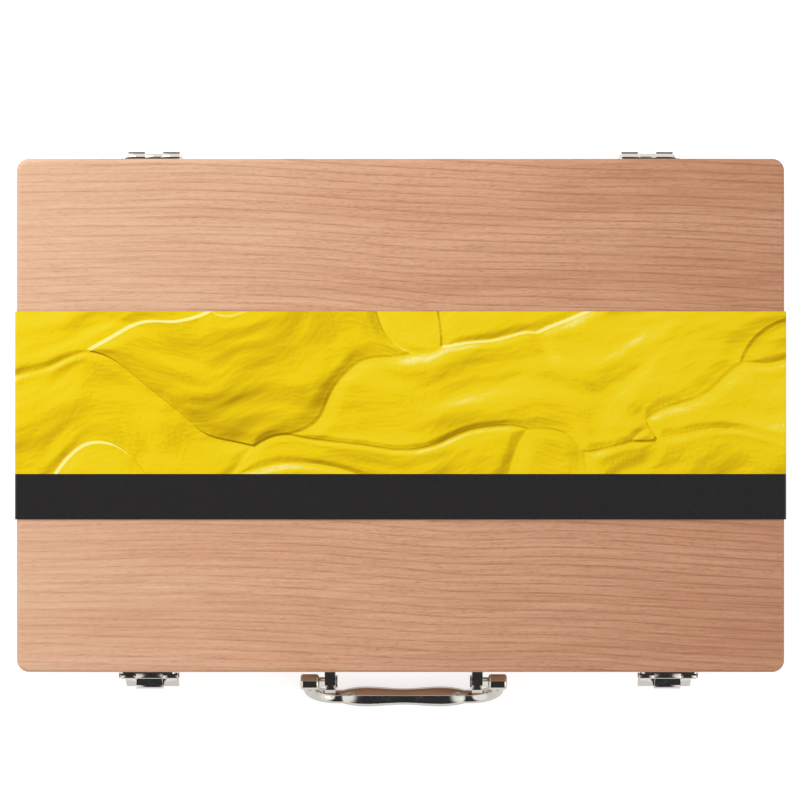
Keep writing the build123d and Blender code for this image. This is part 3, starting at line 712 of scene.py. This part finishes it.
# %% Finish by node
finishes = {
    "lid_top_panel": lid_beech,
    "lid_front_board": long_beech,
    "lid_back_board": long_beech,
    "base_front_board": long_beech,
    "base_back_board": long_beech,
    "lid_left_board": cross_beech,
    "lid_right_board": cross_beech,
    "base_left_board": cross_beech,
    "base_right_board": cross_beech,
    "base_bottom_panel": floor_beech,
    "long_divider": upright_beech,
    "short_divider": short_beech,
    "sleeve_wrap": sleeve_print,
    "sleeve_underside": sleeve_print,
    "brush_handles": brush_lacquer,
    "knife_handle": knife_wood,
    "knife_blade": blade_steel,
}
for index, band in enumerate(TUBE_COLOURS):
    tube = f"paint_tube_{index + 1:02d}"
    finishes[tube] = tube_lacquer(f"tube_lacquer_{index + 1:02d}", band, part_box(tube)[0].y)
for name in nodes:
    if name.startswith(("hinge", "latch", "handle")):
        finishes[name] = nickel
print("finished nodes:", len(finishes))

# %% [markdown]
# The solids come as loose triangles, so a Weld modifier joins them first. A narrow Bevel
# then catches the light along every edge, as a tumbled or sanded edge does.

# %% Soft edges
EDGE_WIDTHS = {"wood": 0.35 * MM, "metal": 0.22 * MM, "hinge": 0.40 * MM}
SMOOTH_ANGLE = math.radians(35)
WELD_REACH = 0.002 * MM


def soften(piece, width, segments=2):
    """Joins loose triangles and rounds the edges by a narrow bevel."""
    weld = piece.modifiers.new("join_triangles", "WELD")
    weld.merge_threshold = WELD_REACH
    bevel = piece.modifiers.new("soft_edge", "BEVEL")
    bevel.width = width
    bevel.segments = segments
    bevel.limit_method = "ANGLE"
    bevel.angle_limit = SMOOTH_ANGLE
    bevel.use_clamp_overlap = True
    bevel.harden_normals = False


for name, material in finishes.items():
    mesh = nodes[name].data
    mesh.materials.clear()
    mesh.materials.append(material)
    if material.name.startswith("beech"):
        soften(nodes[name], EDGE_WIDTHS["wood"])
    elif material is nickel:
        soften(nodes[name], EDGE_WIDTHS["hinge" if name.startswith("hinge") else "metal"])
print("nodes with soft edges:", sum(bool(node.modifiers) for node in nodes.values()))

# %% [markdown]
# ## Making new pieces
# Each new piece is modelled with bmesh operators and then given to the body that carries
# it, so that it moves when the lid or the handle moves. One function does the last steps
# that all of them share, and another puts a small repeated shape into its piece.

# %% Turn a bmesh into a piece
SAME_PLACE = 0.001 * MM


def make_piece(name, shape, material, body, *stands_for):
    """A mesh object that rides on a body and stands for CAD nodes."""
    bmesh.ops.remove_doubles(shape, verts=shape.verts, dist=SAME_PLACE)
    bmesh.ops.recalc_face_normals(shape, faces=shape.faces)
    mesh = bpy.data.meshes.new(name)
    shape.to_mesh(mesh)
    shape.free()
    mesh.materials.append(material)
    mesh.shade_smooth()
    mesh.set_sharp_from_angle(angle=SMOOTH_ANGLE)
    piece = bpy.data.objects.new(name, mesh)
    bpy.context.scene.collection.objects.link(piece)
    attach(piece, body)
    if stands_for:
        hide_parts(*stands_for)
    print(name, "faces:", len(mesh.polygons))
    return piece


def put_into(shape, part):
    """Moves a small bmesh into the bmesh of its piece."""
    mesh = bpy.data.meshes.new("part")
    part.to_mesh(mesh)
    part.free()
    shape.from_mesh(mesh)
    bpy.data.meshes.remove(mesh)


# %% [markdown]
# Screws and ferrules come as groups: several solids in one node. A new piece needs the
# place of each. Corners that are near each other belong to one solid, so its box grows
# from corner to corner.

# %% Find the solids in a group
SCREW_GAP, BRUSH_GAP = 1.5 * MM, 3.0 * MM


def islands(node, gap):
    """Boxes of the separate solids in a node, as (low, high) corners, found by nearness."""
    found = []
    for corner in (vertex.co for vertex in nodes[node].data.vertices):
        for low, high in found:
            near = all(low[i] - gap < corner[i] < high[i] + gap for i in range(3))
            if near:
                for i in range(3):
                    low[i] = min(low[i], corner[i])
                    high[i] = max(high[i], corner[i])
                break
        else:
            found.append((corner.copy(), corner.copy()))
    return found


print("screws in the handle's group:", len(islands("handle_screws", SCREW_GAP)))

# %% [markdown]
# ## Screws
# Small countersunk wood screws hold all the fittings. The visible part is a flat head,
# 4.2 mm wide, with a crossed recess. The head starts as a flat disc. Planes on both
# sides of each arm mark the cross, and an inset presses it down with sloping walls,
# which is also how the real recess is made. Plating is thin and dull down there, and
# those faces are darker still as painted shade of the hollow. The rim of the disc is then
# extruded to the cone and the shank. A screw stops at any angle, so its place decides
# how far the cross is turned.

# %% Countersunk screws with a crossed recess
HEAD_RADIUS, HEAD_DEPTH, SHANK_RADIUS = 2.1 * MM, 0.9 * MM, 1.1 * MM
ARM_HALF_WIDTH, ARM_REACH = 0.38 * MM, 1.35 * MM
RECESS_WALL, RECESS_DEPTH = 0.16 * MM, 0.55 * MM
RECESS_SLOT = 1
TURN_BY_X, TURN_BY_Z = 900, 700
CUT_REACH = 0.0001 * MM


def screw_shape(shape, centre, outward, length):
    """Adds one screw whose head is flush at centre, with its recess open towards outward."""
    made = bmesh.new()
    bmesh.ops.create_circle(made, cap_ends=True, segments=32, radius=HEAD_RADIUS)
    for across in (Vector((1, 0, 0)), Vector((0, 1, 0))):
        for offset in (-ARM_REACH, -ARM_HALF_WIDTH, ARM_HALF_WIDTH, ARM_REACH):
            everything = made.faces[:] + made.edges[:] + made.verts[:]
            bmesh.ops.bisect_plane(
                made, geom=everything, plane_co=across * offset, plane_no=across, dist=CUT_REACH
            )
    made.normal_update()
    arms = []
    for face in made.faces:
        near, far = sorted(abs(value) for value in face.calc_center_median().xy)
        if near < ARM_HALF_WIDTH and far < ARM_REACH:
            arms.append(face)
    walls = bmesh.ops.inset_region(
        made, faces=arms, thickness=RECESS_WALL, depth=-RECESS_DEPTH, use_even_offset=True
    )["faces"]
    # The recess faces take the second slot: dull nickel with painted shade of the hollow.
    for face in arms + walls:
        face.material_index = RECESS_SLOT
    rim = [edge for edge in made.edges if edge.is_boundary]
    for drop in (HEAD_DEPTH, length):
        grown = bmesh.ops.extrude_edge_only(made, edges=rim)["geom"]
        rim = [item for item in grown if isinstance(item, bmesh.types.BMEdge) and item.is_boundary]
        for vertex in [item for item in grown if isinstance(item, bmesh.types.BMVert)]:
            vertex.co = vertex.co.xy.normalized().to_3d() * SHANK_RADIUS - Vector((0, 0, drop))
    bmesh.ops.contextual_create(made, geom=rim)
    turn = Matrix.Rotation(math.radians(-90 * outward), 4, "X")
    cross = Matrix.Rotation(centre.x * TURN_BY_X + centre.z * TURN_BY_Z, 4, "Z")
    bmesh.ops.transform(made, matrix=Matrix.Translation(centre) @ turn @ cross, verts=made.verts)
    put_into(shape, made)


def dress_screws(node, outward):
    """Replaces a group of plain screws by screws with a recess, at the same places."""
    shape = bmesh.new()
    places = islands(node, SCREW_GAP)
    for low, high in places:
        face_y = high.y if outward > 0 else low.y
        centre = Vector(((low.x + high.x) / 2, face_y, (low.z + high.z) / 2))
        screw_shape(shape, centre, outward, high.y - low.y)
    body = nodes[node]["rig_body"]
    piece = make_piece(f"{node}_crossed", shape, screw_nickel, body, node)
    piece.data.materials.append(recess_nickel_and_shade)
    print(node, "screws:", len(places))


# The hinges' heads look to the back, all the others to the front.
for group, side in (
    ("hinge_lid_screws", 1),
    ("hinge_base_screws", 1),
    ("latch_plate_screws", -1),
    ("latch_keeper_screws", -1),
    ("handle_screws", -1),
):
    dress_screws(group, side)

# %% [markdown]
# ## Tube caps
# The caps are moulded with grip ribs. A cone gives the body, its side faces are inset one
# by one and every other one is pushed in, which leaves standing ribs. A bevel rounds the
# two ends, as a mould does.

# %% Ribbed caps
RIBS = 20
RIB_DEPTH, RIB_EDGE = 0.45 * MM, 0.25 * MM
CAP_TAPER, RIM_ROUND, LONGEST_RIM_EDGE = 1.0 * MM, 0.4 * MM, 3 * MM
low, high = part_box("tube_caps")
cap_length = high.y - low.y
cap_radius = (high.z - low.z) / 2
cap_middle_z = (high.z + low.z) / 2


def ribbed_cap():
    """One cap that stands along Z, with its middle at the origin."""
    cap = bmesh.new()
    bmesh.ops.create_cone(
        cap,
        cap_ends=True,
        segments=2 * RIBS,
        radius1=cap_radius,
        radius2=cap_radius - CAP_TAPER,
        depth=cap_length,
    )
    sides = [face for face in cap.faces if abs(face.normal.z) < 0.5]
    sides.sort(key=lambda face: math.atan2(face.calc_center_median().y, face.calc_center_median().x))
    bmesh.ops.inset_individual(cap, faces=sides[::2], thickness=RIB_EDGE, depth=-RIB_DEPTH)
    rim = []
    for edge in cap.edges:
        at_end = all(abs(abs(vertex.co.z) - cap_length / 2) < SAME_PLACE for vertex in edge.verts)
        if at_end and edge.calc_length() < LONGEST_RIM_EDGE:
            rim.append(edge)
    bmesh.ops.bevel(
        cap, geom=rim, offset=RIM_ROUND, segments=2, profile=0.5, affect="EDGES", material=-1
    )
    return cap


caps = bmesh.new()
lie_along_y = Matrix.Rotation(math.radians(-90), 4, "X")
for number in range(1, len(TUBE_COLOURS) + 1):
    middle = sum((corner.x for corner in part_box(f"paint_tube_{number:02d}")), 0.0) / 2
    place = Matrix.Translation((middle, (low.y + high.y) / 2, cap_middle_z))
    cap = ribbed_cap()
    bmesh.ops.transform(cap, matrix=place @ lie_along_y, verts=cap.verts)
    put_into(caps, cap)
make_piece("tube_caps_ribbed", caps, cap_plastic, "base", "tube_caps")

# %% [markdown]
# ## Brush ferrules
# A ferrule is a spun aluminium tube, crimped twice round the handle. Its profile is drawn
# as a few vertices and spun round the brush's axis, as it is in the metal.

# %% Ferrules with crimps
CRIMP_PLACES = (0.22, 0.34)
CRIMP_PRESS, CRIMP_HALF_WIDTH = 0.35 * MM, 0.7 * MM
low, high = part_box("brush_ferrules")
brush_boxes = sorted(islands("brush_ferrules", BRUSH_GAP), key=lambda box: box[0].y)
ferrule_radius = (high.z - low.z) / 2
brush_axes = [Vector((0, (a.y + b.y) / 2, (a.z + b.z) / 2)) for a, b in brush_boxes]
profile = [(low.x, 0.0), (low.x, ferrule_radius)]
for share in CRIMP_PLACES:
    crimp_x = low.x + share * (high.x - low.x)
    profile += [
        (crimp_x - CRIMP_HALF_WIDTH, ferrule_radius),
        (crimp_x, ferrule_radius - CRIMP_PRESS),
        (crimp_x + CRIMP_HALF_WIDTH, ferrule_radius),
    ]
profile += [(high.x, ferrule_radius), (high.x, 0.0)]
ferrules = bmesh.new()
for axis_point in brush_axes:
    points = [ferrules.verts.new(axis_point + Vector((x, 0, radius))) for x, radius in profile]
    line = [ferrules.edges.new(pair) for pair in zip(points, points[1:])]
    bmesh.ops.spin(
        ferrules,
        geom=points + line,
        cent=axis_point,
        axis=(1, 0, 0),
        angle=2 * math.pi,
        steps=32,
        use_merge=True,
    )
piece = make_piece("brush_ferrules_crimped", ferrules, ferrule_aluminium, "base", "brush_ferrules")

# %% [markdown]
# ## Brush hair
# The hair is a bundle of fine tapered filaments, gathered to a soft point. Real hair is
# 0.1 mm thick. Here the strands are about 0.5 mm thick, so that single ones can still be
# seen. Their roots fill the ferrule like the seeds of a sunflower, and the outer ones are
# shorter and lean in more.

# %% Strands
random.seed(7)
HAIRS, HAIR_RADIUS, TIP_SHARE = 110, 0.24 * MM, 0.3
SEED_ANGLE = math.radians(137.5)
OUTER_SHORTER, LEAN_SHARE, ROOT_SHARE = 0.32, 0.55, 0.74
low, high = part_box("brush_tufts")
hair = bmesh.new()
stand = Matrix.Rotation(math.radians(90), 4, "Y")
for axis_point in brush_axes:
    for count in range(HAIRS):
        angle = count * SEED_ANGLE
        spread = math.sqrt((count + 0.5) / HAIRS)
        root_radius = (ferrule_radius - HAIR_RADIUS) * spread
        length = (high.x - low.x) * (1.0 - OUTER_SHORTER * spread**2) * random.uniform(0.95, 1.0)
        strand = bmesh.ops.create_cone(
            hair,
            cap_ends=True,
            segments=5,
            radius1=HAIR_RADIUS,
            radius2=HAIR_RADIUS * TIP_SHARE,
            depth=length,
        )["verts"]
        root = axis_point + Vector((low.x + length / 2, 0, 0))
        lean = math.atan2(root_radius * LEAN_SHARE, length)
        outward_side = Vector((0, math.cos(angle), math.sin(angle)))
        tilt = Matrix.Rotation(lean, 4, outward_side.cross(Vector((1, 0, 0))).normalized() * -1)
        spot = Matrix.Translation(root + outward_side * root_radius * ROOT_SHARE)
        bmesh.ops.transform(hair, matrix=spot @ tilt.inverted() @ stand, verts=strand)
make_piece("brush_hair", hair, brush_hair, "base", "brush_tufts")

# %% [markdown]
# ## Tear-off pad
# A palette pad is a block of coated sheets on a grey board, held by a coat of padding
# glue along one edge. Each sheet is a thin slab, set a little to one side of its
# neighbour, because a guillotined stack never stays quite square once it is handled.

# %% Sheets, board and glued edge
SHEETS, BOARD_THICKNESS, GLUE_THICKNESS = 14, 1.2 * MM, 0.35 * MM
SHEET_SHIFT, SHEET_SHARE = 0.22 * MM, 0.94
SHIFT_MIDDLE, SHIFT_WIDEST, EDGE_WANDER, SIDE_WANDER = 1.5, 3, 2.1, 1.3
BOARD_EDGE, GLUE_EDGE = 0.25 * MM, 0.12 * MM
low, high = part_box("palette_pad")


def slab(shape, corner, opposite):
    """Adds a box between two corners."""
    size = Vector(opposite) - Vector(corner)
    middle = (Vector(opposite) + Vector(corner)) / 2
    place = Matrix.Translation(middle) @ Matrix.Diagonal((*size, 1.0))
    bmesh.ops.create_cube(shape, size=1.0, matrix=place)


backing = bmesh.new()
slab(backing, low, (high.x, high.y, low.z + BOARD_THICKNESS))
soften(make_piece("palette_pad_board", backing, pad_board, "base"), BOARD_EDGE)
stack = bmesh.new()
sheet_rise = (high.z - low.z - BOARD_THICKNESS) / SHEETS
for sheet in range(SHEETS):
    bottom = low.z + BOARD_THICKNESS + sheet * sheet_rise
    edge = SHEET_SHIFT * (SHIFT_MIDDLE + math.sin(sheet * EDGE_WANDER))
    side = SHEET_SHIFT * (SHIFT_MIDDLE + math.cos(sheet * SIDE_WANDER))
    corner = (low.x + side, low.y + edge, bottom)
    right = high.x - SHEET_SHIFT * SHIFT_WIDEST + side
    opposite = (right, high.y - GLUE_THICKNESS, bottom + sheet_rise * SHEET_SHARE)
    slab(stack, corner, opposite)
make_piece("palette_pad_sheets", stack, pad_paper, "base", "palette_pad")
glue = bmesh.new()
slab(glue, (low.x, high.y - GLUE_THICKNESS, low.z + BOARD_THICKNESS), high)
soften(make_piece("palette_pad_glue", glue, pad_gum, "base"), GLUE_EDGE)
print("pad sheets:", SHEETS)

# %% [markdown]
# ## Camera
# The picture looks straight down. The lens is long, so the sides of the case hardly show.
# The frame is 400 mm wide at the lid.

# %% Camera
CAMERA_DISTANCE, FRAME_WIDTH, SENSOR_WIDTH = 1.5, 400.0 * MM, 36.0
CAMERA_X, CAMERA_Y = -0.3 * MM, 7.7 * MM
camera_data = bpy.data.cameras.new("camera")
camera_data.sensor_width = SENSOR_WIDTH
camera_data.lens = SENSOR_WIDTH * CAMERA_DISTANCE / FRAME_WIDTH
camera = bpy.data.objects.new("camera", camera_data)
camera.location = (CAMERA_X, CAMERA_Y, lid_high.z + CAMERA_DISTANCE)
bpy.context.scene.collection.objects.link(camera)
bpy.context.scene.camera = camera
print("lens in mm:", round(camera_data.lens, 1))

# %% [markdown]
# ## White table
# The case lies on a plain white table that keeps its soft shadow. The table glows a
# little for camera and refracted rays, so that it turns to pure white away from the case.
# It glows less for mirrored rays, so that metal shows it somewhat darker.

# %% Table top
TABLE_HALF_WIDTH, TABLE_DROP = 3.0, 0.05 * MM
CAMERA_GLOW, MIRROR_GLOW = 0.70, 0.45
floor_shape = bmesh.new()
bmesh.ops.create_grid(floor_shape, x_segments=1, y_segments=1, size=TABLE_HALF_WIDTH)
floor_mesh = bpy.data.meshes.new("table_top")
floor_shape.to_mesh(floor_mesh)
floor_shape.free()
floor_mesh.transform(Matrix.Translation((0, 0, -TABLE_DROP)))
table_top = bpy.data.objects.new("table_top", floor_mesh)
bpy.context.scene.collection.objects.link(table_top)
table_white, tree, shader = start_material("white_table", Roughness=0.9)
shader.inputs["Base Color"].default_value = colour("#C6C6C6")
shader.inputs["Emission Color"].default_value = (1, 1, 1, 1)
path = add(tree, "LightPath").outputs
background_ray = add(
    tree, "Math", [(0, path["Is Camera Ray"]), (1, path["Is Transmission Ray"])], operation="MAXIMUM"
)
camera_glow = add(tree, "Math", [(0, background_ray), (1, CAMERA_GLOW)], operation="MULTIPLY")
mirrored = [(0, path["Is Glossy Ray"]), (1, MIRROR_GLOW), (2, camera_glow)]
glow = add(tree, "Math", mirrored, operation="MULTIPLY_ADD")
tree.links.new(glow.outputs[0], shader.inputs["Emission Strength"])
floor_mesh.materials.append(table_white)
print("table lies below the case by mm:", round(TABLE_DROP / MM, 2))

# %% [markdown]
# The table must not hide the underside of the case from a camera below it, so it is clear
# from behind. It is also clear to very short diffuse rays. Otherwise the thin gap under
# the case would let no light in, and the underside would be black.

# %% Clear from below
UNDERSIDE_REACH = 3.0 * MM
seen_from_below = add(tree, "NewGeometry").outputs["Backfacing"]
short_ray = add(tree, "Math", [(0, path["Ray Length"]), (1, UNDERSIDE_REACH)], operation="LESS_THAN")
not_seen = add(tree, "Math", [(0, short_ray), (1, path["Is Diffuse Ray"])], operation="MULTIPLY")
clear = add(tree, "Math", [(0, seen_from_below), (1, not_seen)], operation="MAXIMUM")
see_through = add(tree, "MixShader", [(0, clear), (1, shader), (2, add(tree, "BsdfTransparent"))])
tree.links.new(see_through.outputs[0], tree.nodes["Material Output"].inputs["Surface"])
print("nodes in the table's material:", len(tree.nodes))

# %% [markdown]
# ## World
# Bright nickel needs something dark to mirror as well as something light. The room is
# dark overhead and towards the front, where the photographer stands, and bright at the
# back and at both sides. Only glossy rays see that. Soft plain light comes from all
# round, and the camera sees white.

# %% World light
DARK_ROOM, BRIGHT_ROOM = 0.035, 1.15
BRIGHT_FROM, BRIGHT_TO = 0.18, 0.34
AMBIENT, WHITE = (0.68, 0.69, 0.71, 1), (1, 1, 1, 1)
world = bpy.data.worlds.new("studio")
bpy.context.scene.world = world
world.use_nodes = True
tree = world.node_tree
background = tree.nodes["Background"]
direction = add(tree, "TexCoord").outputs["Generated"]
parts = add(tree, "SeparateXYZ", [(0, direction)])
sideways = add(tree, "Math", [(0, parts.outputs["X"])], operation="ABSOLUTE")
from_front = add(tree, "Math", [(0, sideways), (1, parts.outputs["Y"])], operation="MAXIMUM")
studio = add(
    tree,
    "MapRange",
    [("Value", from_front), ("From Min", BRIGHT_FROM), ("From Max", BRIGHT_TO), ("To Min", DARK_ROOM),
     ("To Max", BRIGHT_ROOM)],
    interpolation_type="SMOOTHSTEP",
)
path = add(tree, "LightPath").outputs
background_ray = add(
    tree, "Math", [(0, path["Is Camera Ray"]), (1, path["Is Transmission Ray"])], operation="MAXIMUM"
)
shown = AMBIENT
for ray, light in ((path["Is Glossy Ray"], studio), (background_ray, WHITE)):
    shown = add(tree, "Mix", [(MIX_FACTOR, ray), (MIX_A, shown), (MIX_B, light)], data_type="RGBA")
tree.links.new(shown.outputs[MIX_RESULT], background.inputs["Color"])
background.inputs["Strength"].default_value = 1.0
print("mirrored room, dark and bright:", DARK_ROOM, BRIGHT_ROOM)

# %% [markdown]
# ## Lamps
# A large soft box at the back left gives the shadow its direction, and a weaker one at
# the front right opens it. Large lamps near the case make soft edges.


# %% Soft lamps
def soft_lamp(name, place, size, power):
    """A square soft box at a place, turned to the middle of the lid."""
    data = bpy.data.lights.new(name, "AREA")
    data.size = size
    data.energy = power
    lamp = bpy.data.objects.new(name, data)
    lamp.location = place
    aim = Vector((0, 0, lid_high.z)) - Vector(place)
    lamp.rotation_euler = aim.to_track_quat("-Z", "Y").to_euler()
    bpy.context.scene.collection.objects.link(lamp)
    print(name, "watts:", power)


soft_lamp("window", (-0.72, 0.85, 0.95), 0.8, 10.5)
soft_lamp("fill", (0.9, -0.7, 0.8), 0.6, 2.0)

# %% [markdown]
# ## Colour view
# The Standard view shows each colour as it is written.

# %% Colour view
bpy.context.scene.view_settings.view_transform = "Standard"
